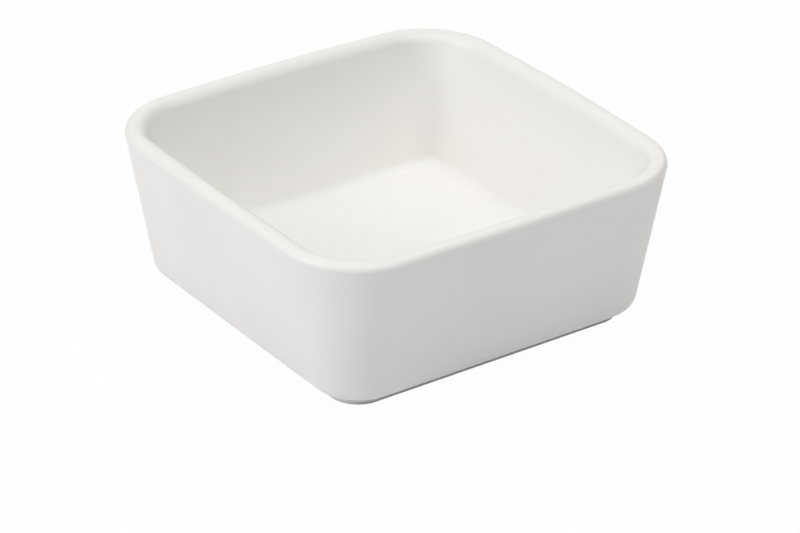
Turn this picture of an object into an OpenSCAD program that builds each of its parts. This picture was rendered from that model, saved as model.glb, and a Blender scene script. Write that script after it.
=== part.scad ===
// Square snack dish of glazed ceramic: an undivided bowl with leaning walls, softly
// rounded corners and rim, and a low foot ring that lifts it off the table.
// One pressed clay body carries one coat of glaze, which stops short of the table.
// Millimetres. Origin in the middle of the resting plane, +Z up, sides along X and Y.

/* [Overall] */
// Width across the rim, side to side
rim_w = 100; // [80:1:130]
// Height from the table to the top of the rim
dish_h = 40; // [30:1:60]

/* [Wall] */
// Lean of the outer wall from upright, in degrees
outer_lean = 11.3; // [4:0.1:12]
// Lean of the inner wall from upright, in degrees
inner_lean = 14; // [8:0.5:16]
// Rounding of the rim on its outer side
rim_outer_r = 1.8; // [1:0.1:3]
// Flat land on top of the rim, between its two roundings
rim_land = 0.6; // [0.2:0.1:2]
// Rounding of the rim on its inner side
rim_inner_r = 2.5; // [1:0.1:4]
// Rounding where the outer wall turns under
base_edge_r = 4; // [2:0.1:5]

/* [Floor] */
// Thickness of the floor inside the foot ring, glaze included
floor_t = 6.6; // [4:0.1:10]
// Rounding where the inner wall meets the floor
floor_r = 3; // [2:0.1:8]
// Corner radius of the flat part of the floor
floor_corner_r = 3.5; // [0.3:0.1:6]

/* [Foot] */
// Height of the foot ring below the wall's underside
foot_h = 2.2; // [1.6:0.1:4]
// Width of the foot ring, glaze included
foot_w = 4; // [2.5:0.1:6]
// Step in from the end of the base rounding to the foot ring
foot_inset = 0.3; // [0.2:0.1:2]
// Rounding of the foot ring's bare edges
foot_edge_r = 0.3; // [0.3:0.1:0.8]
// Depth of the recess inside the foot ring
recess_h = 1.6; // [1.2:0.1:3]

/* [Glaze] */
// Thickness of the glaze coat
glaze_t = 0.4; // [0.2:0.05:0.6]
// Height of the bare clay band that stays clear of the table
bare_h = 0.8; // [0.7:0.1:1]

/* [Hidden] */
$fn = 64;

clay_colour = [0.86, 0.84, 0.79];
glaze_colour = [0.93, 0.92, 0.90];

// Directions square to the leaning walls, pointing out of the clay.
outer_out = [cos(outer_lean), -sin(outer_lean)];
inner_out = [-cos(inner_lean), sin(inner_lean)];
// Directions up the leaning walls.
outer_up = [sin(outer_lean), cos(outer_lean)];
inner_up = [sin(inner_lean), cos(inner_lean)];
up = [0, 1];
// Flats sit this far inside the roundings they run into, so that the two cross cleanly.
hair = 0.001;
// Share by which a rounding is drawn past its ends.
edge_lap = 0.1;

// The wall's section is drawn out from a square spine that runs through the corner
// centres: x is the distance out from the spine, y the height above the table.
// Every rounding keeps its centre, so a coat of any thickness follows the same centres.
floor_z = recess_h + floor_t;
cove_c = [floor_corner_r, floor_z + floor_r - hair];
inner_foot = cove_c - floor_r * inner_out;
inner_run = (dish_h - rim_inner_r + rim_inner_r * inner_out.y - inner_foot.y) / inner_up.y;
rim_inner_c = inner_foot + inner_run * inner_up - rim_inner_r * inner_out;
rim_outer_c = [rim_inner_c.x + rim_land, dish_h - rim_outer_r];
outer_top = rim_outer_c + rim_outer_r * outer_out;
underside_z = foot_h - hair;
outer_run = (outer_top.y - base_edge_r * outer_out.y - underside_z - base_edge_r) / outer_up.y;
base_edge_c = outer_top - outer_run * outer_up - base_edge_r * outer_out;
foot_outer_x = base_edge_c.x - foot_inset;
foot_inner_x = foot_outer_x - foot_w;

// Corner radius of the rim's outline, and half the width of the spine.
rim_corner_r = rim_outer_c.x + rim_outer_r;
spine = rim_w / 2 - rim_corner_r;

// Rounding of an edge, drawn a little past both of its ends so that it laps the flats.
module rounding(centre, r, from, to) {
    reach = 2 * r;
    across = from + to;
    lap = edge_lap * (from - to);
    intersection() {
        translate(centre) circle(r);
        polygon([
            centre - edge_lap * r * across,
            centre + reach * (from + lap),
            centre + reach * across,
            centre + reach * (to - lap),
        ]);
    }
}

// Section of the wall and half of the floor, taken in by a depth all round.
module wall_section(depth) {
    base_r = base_edge_r - depth;
    outer_r = rim_outer_r - depth;
    inner_r = rim_inner_r - depth;
    cove_r = floor_r + depth;
    difference() {
        union() {
            polygon([
                [0, recess_h + depth],
                [foot_inner_x + depth, recess_h + depth],
                [foot_inner_x + depth, bare_h],
                [foot_outer_x - depth, bare_h],
                [foot_outer_x - depth, foot_h + depth],
                base_edge_c - (base_r - hair) * up,
                base_edge_c,
                base_edge_c + (base_r - hair) * outer_out,
                rim_outer_c + (outer_r - hair) * outer_out,
                rim_outer_c,
                rim_outer_c + (outer_r - hair) * up,
                rim_inner_c + (inner_r - hair) * up,
                rim_inner_c,
                rim_inner_c + (inner_r - hair) * inner_out,
                cove_c - (cove_r - hair) * inner_out,
                cove_c,
                cove_c - (cove_r - hair) * up,
                [0, floor_z - depth],
            ]);
            rounding(base_edge_c, base_r, -up, outer_out);
            rounding(rim_outer_c, outer_r, outer_out, up);
            rounding(rim_inner_c, inner_r, up, inner_out);
        }
        translate(cove_c) circle(cove_r);
    }
}

// Section of the bare tip of the foot ring, from the end of the glaze to the table.
module foot_tip_section() {
    inner_x = foot_inner_x + glaze_t;
    outer_x = foot_outer_x - glaze_t;
    inner_edge_c = [inner_x + foot_edge_r, foot_edge_r];
    outer_edge_c = [outer_x - foot_edge_r, foot_edge_r];
    polygon([
        [inner_x, bare_h],
        [inner_x, foot_edge_r],
        inner_edge_c,
        inner_edge_c - foot_edge_r * up,
        outer_edge_c - foot_edge_r * up,
        outer_edge_c,
        [outer_x, foot_edge_r],
        [outer_x, bare_h],
    ]);
    translate(inner_edge_c) circle(foot_edge_r);
    translate(outer_edge_c) circle(foot_edge_r);
}

// Sweeps a section round the spine: straight along the sides, turning at the corners.
module sweep() {
    for (turn = [0:90:270]) rotate(turn) {
        translate([spine, spine, 0]) rotate_extrude(angle = 90) children();
        translate([spine, spine, 0]) rotate([90, 0, 0]) linear_extrude(spine) children();
        translate([0, spine, 0]) rotate([90, 0, 90]) linear_extrude(spine) children();
    }
}

// Flat layer inside the spine, between two heights.
module middle(from_z, to_z) {
    for (turn = [0:90:270]) rotate(turn)
        translate([0, 0, from_z]) cube([spine, spine, to_z - from_z]);
}

// The fired clay, with its foot ring bare at the tip.
module clay_body() {
    color(clay_colour) {
        sweep() {
            wall_section(glaze_t);
            foot_tip_section();
        }
        middle(recess_h + glaze_t, floor_z - glaze_t);
    }
}

// The glaze: one coat over the bowl and down to the foot, another inside the foot ring.
module glaze_coat() {
    color(glaze_colour) {
        sweep() difference() {
            wall_section(0);
            wall_section(glaze_t);
        }
        middle(floor_z - glaze_t, floor_z);
        middle(recess_h, recess_h + glaze_t);
    }
}

clay_body();
glaze_coat();
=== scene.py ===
import math

import bmesh
import bpy
from mathutils import Matrix, Vector


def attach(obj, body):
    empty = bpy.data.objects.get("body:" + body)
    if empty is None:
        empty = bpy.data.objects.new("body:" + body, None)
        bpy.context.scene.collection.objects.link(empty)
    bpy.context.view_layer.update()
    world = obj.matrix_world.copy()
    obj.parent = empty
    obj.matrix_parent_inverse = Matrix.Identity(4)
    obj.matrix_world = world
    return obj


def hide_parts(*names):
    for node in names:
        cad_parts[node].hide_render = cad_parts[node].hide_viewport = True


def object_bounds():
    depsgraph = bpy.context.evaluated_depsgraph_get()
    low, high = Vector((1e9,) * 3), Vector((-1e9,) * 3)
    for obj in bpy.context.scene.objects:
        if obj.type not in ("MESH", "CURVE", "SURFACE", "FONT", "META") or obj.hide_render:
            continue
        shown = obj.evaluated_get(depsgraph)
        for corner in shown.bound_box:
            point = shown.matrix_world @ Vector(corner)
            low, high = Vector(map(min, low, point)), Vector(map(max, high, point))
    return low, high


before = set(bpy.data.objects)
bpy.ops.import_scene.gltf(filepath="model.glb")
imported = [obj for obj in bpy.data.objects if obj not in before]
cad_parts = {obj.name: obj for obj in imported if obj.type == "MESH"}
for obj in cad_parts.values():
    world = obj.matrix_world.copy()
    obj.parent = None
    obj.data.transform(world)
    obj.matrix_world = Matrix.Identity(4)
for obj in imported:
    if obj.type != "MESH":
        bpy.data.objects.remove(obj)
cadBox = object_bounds()
print("loaded", len(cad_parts), "CAD nodes")

mm = 0.001
hair = 0.001      # millimetres that the dish keeps inside the CAD's box

# the dish's own sizes, in millimetres and degrees
dish = {
    "rimWidth": (cadBox[1][0] - cadBox[0][0]) / mm - hair,
    "height": (cadBox[1][2] - cadBox[0][2]) / mm - hair,
    "outerLean": 11.3, "innerLean": 14,
    "rimOuterRadius": 1.4, "rimLand": 0.93, "rimInnerRadius": 2.9,
    "baseEdgeRadius": 4,
    "floorHeight": 8.2, "floorRadius": 3, "floorCornerRadius": 3.5,
    "footHeight": 2.2, "footWidth": 4, "footInset": 0.3, "footEdgeRadius": 0.3, "footRootRadius": 0.3,
    "recessHeight": 1.6,
    "glazeThickness": 0.4, "glazeRoll": 0.16, "bareHeight": 0.8,
    "cornerPull": 0.86, "cornerDrop": 0.31,     # the rim's corners go in and down, so that its sides bow
    "cornerSquare": 3.6, "squareTop": 26,       # the bowl's corners grow squarer from this height down
}

# how finely it is drawn: steps, degrees and the millimetres within which points count as one or as level
detail = {
    "sideSteps": 14, "cornerSteps": 36, "coveSteps": 14, "rimInnerSteps": 12, "rimOuterSteps": 14,
    "baseSteps": 12, "footSteps": 6, "rollSteps": 3,
    "smoothAngle": 35, "sharpAngle": 60,
    "weld": 0.002, "mirrorWeld": 0.01, "level": 0.01,
}


def polar(centre, radius, degrees):
    turn = math.radians(degrees)
    return (centre[0] + radius * math.cos(turn), centre[1] + radius * math.sin(turn))


def measureSection():
    # the wall's section: distances out from the square through the corner centres, and heights
    d = dish
    innerLean, outerLean = math.radians(d["innerLean"]), math.radians(d["outerLean"])
    inner, outer = 180 - d["innerLean"], -d["outerLean"]      # directions that the walls face
    cove = (d["floorCornerRadius"], d["floorHeight"] + d["floorRadius"])
    wallFoot = polar(cove, d["floorRadius"], inner - 180)
    wallTop = d["height"] - d["rimInnerRadius"] * (1 - math.sin(innerLean))
    wallEnd = wallFoot[0] + (wallTop - wallFoot[1]) * math.tan(innerLean)
    rimInner = (wallEnd + d["rimInnerRadius"] * math.cos(innerLean), d["height"] - d["rimInnerRadius"])
    rimOuter = (rimInner[0] + d["rimLand"], d["height"] - d["rimOuterRadius"])
    top = polar(rimOuter, d["rimOuterRadius"], outer)
    baseHeight = d["footHeight"] + d["baseEdgeRadius"]
    low = polar((0, baseHeight), d["baseEdgeRadius"], outer)
    base = (top[0] - low[0] - (top[1] - low[1]) * math.tan(outerLean), baseHeight)
    footOuter = base[0] - d["footInset"]
    # the middle of the leaning wall, at the base rounding and per millimetre up
    wallLow = (base[0] + d["baseEdgeRadius"] + cove[0] + d["floorRadius"]) / 2
    wallLean = (rimOuter[0] - wallLow) / (d["height"] - baseHeight)
    return {
        "inner": inner, "outer": outer,
        "cove": cove, "rimInner": rimInner, "rimOuter": rimOuter, "base": base,      # centres of roundings
        "footOuter": footOuter, "footInner": footOuter - d["footWidth"],
        "side": d["rimWidth"] / 2 - rimOuter[0] - d["rimOuterRadius"],      # half a side, up to its corner
        "wallLow": wallLow, "wallLean": wallLean,
    }


section = measureSection()


def deselectAll():
    if bpy.context.object and bpy.context.object.mode != "OBJECT":
        bpy.ops.object.mode_set(mode="OBJECT")
    bpy.ops.object.select_all(action="DESELECT")


def onSection(point):
    # the section stands in the plane through the middle of the right-hand side
    return Vector(((section["side"] + point[0]) * mm, 0, point[1] * mm))


def startLine(name, point):
    # a plane merged to one point, from which the section is drawn
    deselectAll()
    bpy.ops.mesh.primitive_plane_add(size=mm, location=onSection(point))
    piece = bpy.context.object
    piece.name = name
    piece.data.name = name
    bpy.ops.object.transform_apply(location=True)
    bpy.ops.object.mode_set(mode="EDIT")
    bpy.ops.mesh.select_mode(type="VERT")
    bpy.ops.mesh.select_all(action="SELECT")
    bpy.ops.mesh.merge(type="CENTER")
    piece["tip"] = point
    return piece


def lineTo(piece, point):
    tip = piece["tip"]
    step = Vector(((point[0] - tip[0]) * mm, 0, (point[1] - tip[1]) * mm))
    bpy.ops.mesh.extrude_vertices_move(TRANSFORM_OT_translate={"value": step})
    piece["tip"] = point


def roundTo(piece, centre, radius, fromTurn, toTurn, steps):
    lineTo(piece, polar(centre, radius, fromTurn))
    angle = math.radians(toTurn - fromTurn)
    bpy.ops.mesh.spin(steps=steps, angle=angle, center=onSection(centre), axis=(0, 1, 0))
    piece["tip"] = polar(centre, radius, toTurn)


def sweepRound(piece):
    # half a side, one corner, half a side, then mirrored to go all the way round
    side, steps = section["side"] * mm, detail["sideSteps"]
    quarter = math.radians(90)
    bpy.ops.mesh.select_all(action="SELECT")
    for _ in range(steps):
        bpy.ops.mesh.extrude_region_move(TRANSFORM_OT_translate={"value": (0, side / steps, 0)})
    bpy.ops.mesh.spin(steps=detail["cornerSteps"], angle=quarter, center=(side, side, 0), axis=(0, 0, -1))
    for _ in range(steps):
        bpy.ops.mesh.extrude_region_move(TRANSFORM_OT_translate={"value": (-side / steps, 0, 0)})
    bpy.ops.mesh.select_all(action="SELECT")
    bpy.ops.mesh.remove_doubles(threshold=detail["weld"] * mm)
    bpy.ops.object.mode_set(mode="OBJECT")
    mirror = piece.modifiers.new("otherSides", "MIRROR")
    mirror.use_axis = (True, True, False)
    mirror.merge_threshold = detail["mirrorWeld"] * mm
    bpy.ops.object.modifier_apply(modifier=mirror.name)


def tightenCorners(piece):
    # toward the floor the bowl's corners are squarer, and the outside stays as it is
    d, side = dish, section["side"]
    lowest = d["floorHeight"] - 2 * d["glazeThickness"]      # under the clay's floor
    for vert in piece.data.vertices:
        pastX = abs(vert.co.x) / mm - side
        pastY = abs(vert.co.y) / mm - side
        z = vert.co.z / mm
        out = math.hypot(pastX, pastY)
        outside = out > section["wallLow"] + section["wallLean"] * (z - section["base"][1])
        if outside or min(pastX, pastY) <= 0 or z > d["squareTop"] or z < lowest:
            continue
        share = min(1, (d["squareTop"] - z) / (d["squareTop"] - d["floorHeight"]))
        power = 2 + d["cornerSquare"] * share ** 2           # a power of 2 is a round corner
        grow = out / (pastX ** power + pastY ** power) ** (1 / power)
        vert.co.x = math.copysign((side + pastX * grow) * mm, vert.co.x)
        vert.co.y = math.copysign((side + pastY * grow) * mm, vert.co.y)


def bowSides(piece):
    # a cage round the dish with the four corners of its top drawn in and down
    deselectAll()
    bpy.ops.object.add(type="LATTICE", location=(0, 0, dish["height"] / 2 * mm))
    cage = bpy.context.object
    cage.data.points_u, cage.data.points_v, cage.data.points_w = 3, 3, 2
    cage.data.interpolation_type_u = "KEY_CARDINAL"
    cage.data.interpolation_type_v = "KEY_CARDINAL"
    cage.data.interpolation_type_w = "KEY_LINEAR"
    reach = max(point.co.x for point in cage.data.points)
    cage.scale = Vector((dish["rimWidth"], dish["rimWidth"], dish["height"])) * mm / (2 * reach)
    pull = 1 - dish["cornerPull"] / (dish["rimWidth"] / 2)
    drop = dish["cornerDrop"] / dish["height"] * 2 * reach
    for point in cage.data.points:
        if point.co.z > 0 and abs(point.co.x * point.co.y) > 0:
            point.co_deform = (point.co.x * pull, point.co.y * pull, point.co.z - drop)
    bend = piece.modifiers.new("bow", "LATTICE")
    bend.object = cage
    bpy.context.view_layer.objects.active = piece
    bpy.ops.object.modifier_apply(modifier=bend.name)
    bpy.data.objects.remove(cage)


def isLevel(height, z):
    return abs(z - height * mm) < detail["level"] * mm


def isOpen(edge):
    return edge.is_boundary


def isSharp(edge):
    return len(edge.link_faces) == 2 and edge.calc_face_angle() > math.radians(detail["sharpAngle"])


def selectEdges(piece, height, wanted):
    # leaves the piece in edit mode, with the wanted edges at that height selected
    bpy.ops.object.mode_set(mode="EDIT")
    bpy.ops.mesh.select_mode(type="EDGE")
    bpy.ops.mesh.select_all(action="DESELECT")
    bm = bmesh.from_edit_mesh(piece.data)
    for edge in bm.edges:
        level = all(isLevel(height, v.co.z) for v in edge.verts)
        edge.select_set(level and wanted(edge))
    bmesh.update_edit_mesh(piece.data)


def fillFlat(piece, height):
    # closes the open square in the middle of the floor or of the recess
    selectEdges(piece, height, isOpen)
    bpy.ops.mesh.edge_face_add()
    bpy.ops.mesh.select_all(action="SELECT")
    bpy.ops.mesh.normals_make_consistent(inside=False)
    bpy.ops.object.mode_set(mode="OBJECT")


def faceOutward(piece, height, sign):
    # the flat at that height has to look up for 1 and down for -1
    level = [face for face in piece.data.polygons if isLevel(height, face.center.z)]
    flat = max(level, key=lambda face: face.area)
    if flat.normal.z * sign < 0:
        bpy.ops.object.mode_set(mode="EDIT")
        bpy.ops.mesh.select_all(action="SELECT")
        bpy.ops.mesh.flip_normals()
        bpy.ops.object.mode_set(mode="OBJECT")


def thicken(piece):
    solid = piece.modifiers.new("coat", "SOLIDIFY")
    solid.thickness = dish["glazeThickness"] * mm
    solid.offset = -1
    solid.use_even_offset = True
    bpy.ops.object.modifier_apply(modifier=solid.name)


def rollEdge(piece, height):
    # the glaze ends in a soft roll, not in a cut edge
    selectEdges(piece, height, isSharp)
    bpy.ops.mesh.bevel(offset=dish["glazeRoll"] * mm, segments=detail["rollSteps"], affect="EDGES")
    bpy.ops.object.mode_set(mode="OBJECT")


def smoothOff(piece):
    deselectAll()
    piece.select_set(True)
    bpy.context.view_layer.objects.active = piece
    bpy.ops.object.shade_smooth_by_angle(angle=math.radians(detail["smoothAngle"]))


def drawBowl(piece, depth):
    # floor, cove, inner wall, rim, outer wall, underside and the outside of the foot
    d, s = dish, section
    roundTo(piece, s["cove"], d["floorRadius"] + depth, -90, s["inner"] - 180, detail["coveSteps"])
    roundTo(piece, s["rimInner"], d["rimInnerRadius"] - depth, s["inner"], 90, detail["rimInnerSteps"])
    roundTo(piece, s["rimOuter"], d["rimOuterRadius"] - depth, 90, s["outer"], detail["rimOuterSteps"])
    roundTo(piece, s["base"], d["baseEdgeRadius"] - depth, s["outer"], -90, detail["baseSteps"])
    root = (s["footOuter"] + d["footRootRadius"], d["footHeight"] - d["footRootRadius"])
    roundTo(piece, root, d["footRootRadius"] + depth, 90, 180, detail["footSteps"])


def drawRecess(piece, depth):
    # up the inside of the foot and across the recess
    d = dish
    root = (section["footInner"] - d["footRootRadius"], d["recessHeight"] - d["footRootRadius"])
    roundTo(piece, root, d["footRootRadius"] + depth, 0, 90, detail["footSteps"])
    lineTo(piece, (0, d["recessHeight"] + depth))


def makeClay():
    d, coat, edge = dish, dish["glazeThickness"], dish["footEdgeRadius"]
    piece = startLine("clayBody", (0, d["floorHeight"] - coat))
    drawBowl(piece, coat)
    roundTo(piece, (section["footOuter"] - coat - edge, edge), edge, 0, -90, detail["footSteps"])
    roundTo(piece, (section["footInner"] + coat + edge, edge), edge, -90, -180, detail["footSteps"])
    drawRecess(piece, coat)
    sweepRound(piece)
    fillFlat(piece, d["floorHeight"] - coat)
    fillFlat(piece, d["recessHeight"] + coat)
    tightenCorners(piece)
    bowSides(piece)
    smoothOff(piece)
    return piece


def makeGlaze():
    d = dish
    piece = startLine("bowlGlaze", (0, d["floorHeight"]))
    drawBowl(piece, 0)
    lineTo(piece, (section["footOuter"], d["bareHeight"]))
    sweepRound(piece)
    fillFlat(piece, d["floorHeight"])
    faceOutward(piece, d["floorHeight"], 1)
    tightenCorners(piece)
    bowSides(piece)
    thicken(piece)
    rollEdge(piece, d["bareHeight"])
    smoothOff(piece)
    return piece


def makeRecessGlaze():
    d = dish
    piece = startLine("recessGlaze", (section["footInner"], d["bareHeight"]))
    drawRecess(piece, 0)
    sweepRound(piece)
    fillFlat(piece, d["recessHeight"])
    faceOutward(piece, d["recessHeight"], -1)
    bowSides(piece)
    thicken(piece)
    rollEdge(piece, d["bareHeight"])
    smoothOff(piece)
    return piece


clayBody = makeClay()
bowlGlaze = makeGlaze()
recessGlaze = makeRecessGlaze()
for piece in (clayBody, bowlGlaze, recessGlaze):
    del piece["tip"]
    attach(piece, "root")
    print("made", piece.name, len(piece.data.polygons), "faces")
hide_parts("clay_body")
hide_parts("glaze_coat")
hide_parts("glaze_coat")


# surfaces: linear colours, lengths in metres
def addNode(tree, kind, label, settings=None, inputs=None):
    node = tree.nodes.new(kind)
    node.label = label
    for key, value in (settings or {}).items():
        setattr(node, key, value)
    for key, value in (inputs or {}).items():
        if isinstance(value, bpy.types.NodeSocket):
            tree.links.new(value, node.inputs[key])
        else:
            node.inputs[key].default_value = value
    return node


def addMath(tree, label, operation, first, second):
    node = addNode(tree, "ShaderNodeMath", label, {"operation": operation}, {0: first, 1: second})
    return node.outputs[0]


def addRange(tree, label, value, low, high, toLow=0.0, toHigh=1.0):
    node = addNode(tree, "ShaderNodeMapRange", label, inputs={
        "Value": value, "From Min": low, "From Max": high, "To Min": toLow, "To Max": toHigh})
    return node.outputs["Result"]


def addMix(tree, label, share, first, second, blend="MIX"):
    first, second = (c if isinstance(c, bpy.types.NodeSocket) else (*c, 1) for c in (first, second))
    kind = {"data_type": "RGBA", "blend_type": blend}
    return addNode(tree, "ShaderNodeMix", label, kind, {0: share, 6: first, 7: second}).outputs[2]


def addVector(tree, label, operation, first, second=(0, 0, 0)):
    node = addNode(tree, "ShaderNodeVectorMath", label, {"operation": operation}, {0: first, 1: second})
    return node.outputs["Value" if operation == "LENGTH" else "Vector"]


def addNoise(tree, label, place, scale, fineness):
    node = addNode(tree, "ShaderNodeTexNoise", label, inputs={
        "Vector": place, "Scale": scale, "Detail": fineness})
    return node.outputs["Fac"]


grainSet = {
    "cloudScale": 30, "cloudDetail": 3, "cloudLow": 0.32, "cloudHigh": 0.68,
    "peelScale": 900, "peelDetail": 2,
    "pitScale": 110, "pitSize": 0.026, "pitCore": 1 / 3, "pitRarity": 0.88,      # core: the share at full depth
}


def makeGrain():
    # soft clouds from the kiln, a fine peel and a few pits, for the glaze and the clay alike
    s = grainSet
    group = bpy.data.node_groups.new("kilnGrain", "ShaderNodeTree")
    place = addNode(group, "ShaderNodeTexCoord", "place").outputs["Object"]
    clouds = addNoise(group, "clouds", place, s["cloudScale"], s["cloudDetail"])
    peel = addNoise(group, "peel", place, s["peelScale"], s["peelDetail"])
    cells = addNode(group, "ShaderNodeTexVoronoi", "cells", inputs={
        "Vector": place, "Scale": s["pitScale"]}).outputs
    spots = addRange(group, "spots", cells["Distance"], s["pitSize"], s["pitSize"] * s["pitCore"])
    chance = addNode(group, "ShaderNodeSeparateColor", "chance", inputs={"Color": cells["Color"]})
    few = addMath(group, "few", "GREATER_THAN", chance.outputs["Red"], s["pitRarity"])
    found = {
        "Clouds": addRange(group, "cloud contrast", clouds, s["cloudLow"], s["cloudHigh"]),
        "Peel": peel,
        "Pits": addMath(group, "pits", "MULTIPLY", spots, few),
    }
    for name in found:
        group.interface.new_socket(name, in_out="OUTPUT", socket_type="NodeSocketFloat")
    addNode(group, "NodeGroupOutput", "result", inputs=found)
    return group


def startFinish(name, grain):
    material = bpy.data.materials.new(name)
    material.use_nodes = True
    tree = material.node_tree
    kiln = addNode(tree, "ShaderNodeGroup", "kiln grain", {"node_tree": grain}).outputs
    place = addNode(tree, "ShaderNodeTexCoord", "place").outputs["Object"]
    height = addNode(tree, "ShaderNodeSeparateXYZ", "height", inputs={"Vector": place}).outputs["Z"]
    return material, tree, kiln, place, height


def endFinish(tree, colour, roughness, relief, depth):
    bump = addNode(tree, "ShaderNodeBump", "relief", inputs={"Height": relief, "Distance": depth})
    shader = tree.nodes["Principled BSDF"]
    tree.links.new(colour, shader.inputs["Base Color"])
    tree.links.new(roughness, shader.inputs["Roughness"])
    tree.links.new(bump.outputs["Normal"], shader.inputs["Normal"])


glazeSet = {
    "deep": (0.878, 0.868, 0.851), "pale": (0.905, 0.897, 0.883), "cream": (1.0, 0.994, 0.98),
    "thin": (0.885, 0.866, 0.832), "rimFrom": 0.0375, "rimTo": 0.0399,
    "foot": (0.862, 0.865, 0.87), "footFrom": 0.0021, "footTo": 0.0009,
    "pit": (0.55, 0.5, 0.44), "insideFade": 0.0005,
    "smooth": 0.4, "rough": 0.48, "peel": 0.00001,
}


def insideMask(tree, place, height, fade):
    # distance out from the square through the corner centres, set against the middle of the leaning wall
    corner = (section["side"] * mm, section["side"] * mm, 1)
    quarter = addVector(tree, "one quarter", "ABSOLUTE", place)
    beyond = addVector(tree, "past the corner centres", "SUBTRACT", quarter, corner)
    out = addVector(tree, "out", "LENGTH", addVector(tree, "outward only", "MAXIMUM", beyond))
    lean = addMath(tree, "lean", "MULTIPLY", height, section["wallLean"])
    upright = addMath(tree, "upright", "SUBTRACT", out, lean)
    middle = (section["wallLow"] - section["wallLean"] * section["base"][1]) * mm
    return addRange(tree, "inside", upright, middle + fade, middle - fade)


def makeGlazeFinish(grain):
    s = glazeSet
    material, tree, kiln, place, height = startFinish("glazeFinish", grain)
    colour = addMix(tree, "clouds", kiln["Clouds"], s["deep"], s["pale"])
    # the coat poured inside is thicker and a shade creamier
    inside = insideMask(tree, place, height, s["insideFade"])
    colour = addMix(tree, "poured", inside, colour, s["cream"], "MULTIPLY")
    # thin and a little warmer over the rim, and near the clay's tone where the coat ends above the table
    rim = addRange(tree, "rim", height, s["rimFrom"], s["rimTo"])
    foot = addRange(tree, "foot", height, s["footFrom"], s["footTo"])
    colour = addMix(tree, "thin rim", rim, colour, s["thin"])
    colour = addMix(tree, "thin foot", foot, colour, s["foot"])
    colour = addMix(tree, "pits", kiln["Pits"], colour, s["pit"])
    roughness = addRange(tree, "roughness", kiln["Clouds"], 0.0, 1.0, s["rough"], s["smooth"])
    relief = addMath(tree, "peel and pits", "SUBTRACT", kiln["Peel"], kiln["Pits"])
    endFinish(tree, colour, roughness, relief, s["peel"])
    return material


claySet = {
    "dark": (0.772, 0.776, 0.782), "pale": (0.872, 0.876, 0.882), "speck": (0.4, 0.37, 0.34),
    "scuff": (0.5, 0.488, 0.47), "scuffHeight": 0.00025, "scuffFrom": 0.5, "scuffTo": 0.85,
    "streakScale": 240, "streakDetail": 4, "streakTurn": 0.5, "streakStretch": 0.12,
    "smooth": 0.74, "rough": 0.92, "grain": 0.00006,
}


def makeClayFinish(grain):
    s = claySet
    material, tree, kiln, place, height = startFinish("clayFinish", grain)
    # grey scuffs on the flat that slides over tables
    sole = addRange(tree, "sole", height, s["scuffHeight"], 0.0)
    along = addNode(tree, "ShaderNodeMapping", "along", inputs={
        "Vector": place, "Rotation": (0, 0, s["streakTurn"]), "Scale": (s["streakStretch"], 1, 1)})
    streaks = addNoise(tree, "streaks", along.outputs["Vector"], s["streakScale"], s["streakDetail"])
    few = addRange(tree, "few", streaks, s["scuffFrom"], s["scuffTo"])
    scuffs = addMath(tree, "scuffs", "MULTIPLY", sole, few)
    colour = addMix(tree, "grain", kiln["Peel"], s["dark"], s["pale"])
    colour = addMix(tree, "specks", kiln["Pits"], colour, s["speck"])
    colour = addMix(tree, "worn", scuffs, colour, s["scuff"])
    roughness = addRange(tree, "roughness", kiln["Clouds"], 0.0, 1.0, s["smooth"], s["rough"])
    endFinish(tree, colour, roughness, kiln["Peel"], s["grain"])
    return material


kilnGrain = makeGrain()
glazeFinish = makeGlazeFinish(kilnGrain)
clayFinish = makeClayFinish(kilnGrain)
clayBody.data.materials.append(clayFinish)
bowlGlaze.data.materials.append(glazeFinish)
recessGlaze.data.materials.append(glazeFinish)
print("surfaces", glazeFinish.name, clayFinish.name)

# floor, camera and light, in metres, degrees and watts
stageSet = {
    "floorSize": 6.0, "floorLevel": -0.00003, "floorColour": (0.8, 0.8, 0.8), "floorRoughness": 0.9,
    "whiteShare": 0.97,      # how much of the floor is plain white to the camera, the rest takes the shadow
    "worldColour": (1, 1, 1), "worldStrength": 0.14,
}


def makeFloor():
    s = stageSet
    deselectAll()
    bpy.ops.mesh.primitive_plane_add(size=s["floorSize"], location=(0, 0, s["floorLevel"]))
    floor = bpy.context.object
    floor.name = "paleFloor"
    material = bpy.data.materials.new("paleFloor")
    material.use_nodes = True
    tree = material.node_tree
    shader = tree.nodes["Principled BSDF"]
    shader.inputs["Base Color"].default_value = (*s["floorColour"], 1)
    shader.inputs["Roughness"].default_value = s["floorRoughness"]
    white = addNode(tree, "ShaderNodeEmission", "white").outputs["Emission"]
    # white where the camera sees it, straight, in a reflection or through the piece
    path = addNode(tree, "ShaderNodeLightPath", "path").outputs
    mirrored = addMath(tree, "mirrored", "MAXIMUM", path["Is Glossy Ray"], path["Is Transmission Ray"])
    seen = addMath(tree, "seen", "MAXIMUM", path["Is Camera Ray"], mirrored)
    share = addMath(tree, "white share", "MULTIPLY", seen, s["whiteShare"])
    mix = addNode(tree, "ShaderNodeMixShader", "floor or white", inputs={
        0: share, 1: shader.outputs["BSDF"], 2: white})
    tree.links.new(mix.outputs["Shader"], tree.nodes["Material Output"].inputs["Surface"])
    floor.data.materials.append(material)


makeFloor()

view = {
    "azimuth": -35.178, "elevation": 27.46, "roll": -0.391, "distance": 0.8492, "centreHeight": 0.02,
    "photoPixels": (800, 533), "centrePixel": (393.61, 216.79), "focusPixels": 3707.6,
    "sensorWidth": 36, "nearest": 0.01,
}


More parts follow.
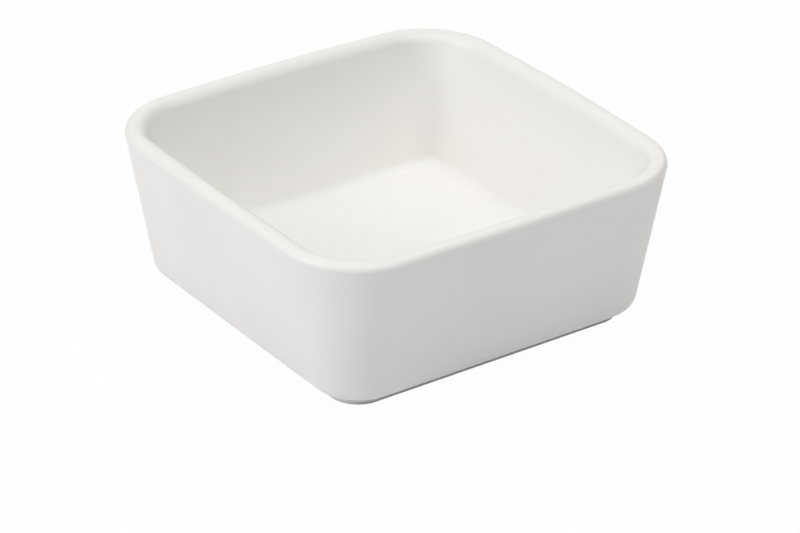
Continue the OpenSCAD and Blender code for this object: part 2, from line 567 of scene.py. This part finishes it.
def placeCamera():
    azimuth, elevation, roll = (math.radians(view[name]) for name in ("azimuth", "elevation", "roll"))
    right = Vector((math.cos(azimuth), math.sin(azimuth), 0))
    ahead = Vector((-math.sin(azimuth), math.cos(azimuth), 0))
    back = -ahead * math.cos(elevation) + Vector((0, 0, math.sin(elevation)))
    up = back.cross(right)
    rolled = Matrix.Rotation(-roll, 3, back)
    right, up = rolled @ right, rolled @ up
    # the camera looks a little past the dish, so that its middle comes on its own pixel
    photoWidth, photoHeight = view["photoPixels"]
    pixel = view["distance"] / view["focusPixels"]      # what one pixel covers at the dish
    offX = (photoWidth / 2 - view["centrePixel"][0]) * pixel
    offY = (photoHeight / 2 - view["centrePixel"][1]) * pixel
    centre = Vector((0, 0, view["centreHeight"]))
    eye = centre + back * view["distance"]
    aim = centre + right * offX - up * offY
    look = (eye - aim).normalized()
    side = up.cross(look).normalized()
    lens = bpy.data.cameras.new("photoView")
    lens.sensor_width = view["sensorWidth"]
    lens.lens = view["focusPixels"] / photoWidth * view["sensorWidth"]
    lens.clip_start = view["nearest"]
    camera = bpy.data.objects.new("photoView", lens)
    bpy.context.scene.collection.objects.link(camera)
    turned = Matrix((side, look.cross(side), look)).transposed().to_4x4()
    camera.matrix_world = Matrix.Translation(eye) @ turned
    bpy.context.scene.camera = camera


placeCamera()

lampSet = [
    {"name": "leftStrip", "place": (-1.077, 0.288, 1.004), "size": (0.5, 2.2), "power": 10.2},
    {"name": "lowLeftSoftbox", "place": (-1.362, 0.365, 0.513), "size": (0.6, 0.6), "power": 3.2},
    {"name": "overheadSoftbox", "place": (0, -0.634, 1.36), "size": (1.5, 1.5), "power": 13.4},
    {"name": "backSoftbox", "place": (0.869, 0.869, 0.86), "size": (1.5, 1.5), "power": 6.5},
]


def hangLamp(lamp):
    # every lamp looks at the middle of the dish, on the floor
    light = bpy.data.lights.new(lamp["name"], "AREA")
    light.shape = "RECTANGLE"
    light.size, light.size_y = lamp["size"]
    light.energy = lamp["power"]
    holder = bpy.data.objects.new(lamp["name"], light)
    bpy.context.scene.collection.objects.link(holder)
    holder.location = lamp["place"]
    holder.rotation_euler = (-Vector(lamp["place"])).to_track_quat("-Z", "Y").to_euler()


for lamp in lampSet:
    hangLamp(lamp)

world = bpy.data.worlds.new("studio")
world.use_nodes = True
sky = world.node_tree.nodes["Background"].inputs
sky["Color"].default_value = (*stageSet["worldColour"], 1)
sky["Strength"].default_value = stageSet["worldStrength"]
bpy.context.scene.world = world
bpy.context.scene.view_settings.view_transform = "Standard"
print("stage", bpy.context.scene.camera.name, len(lampSet), "lamps")
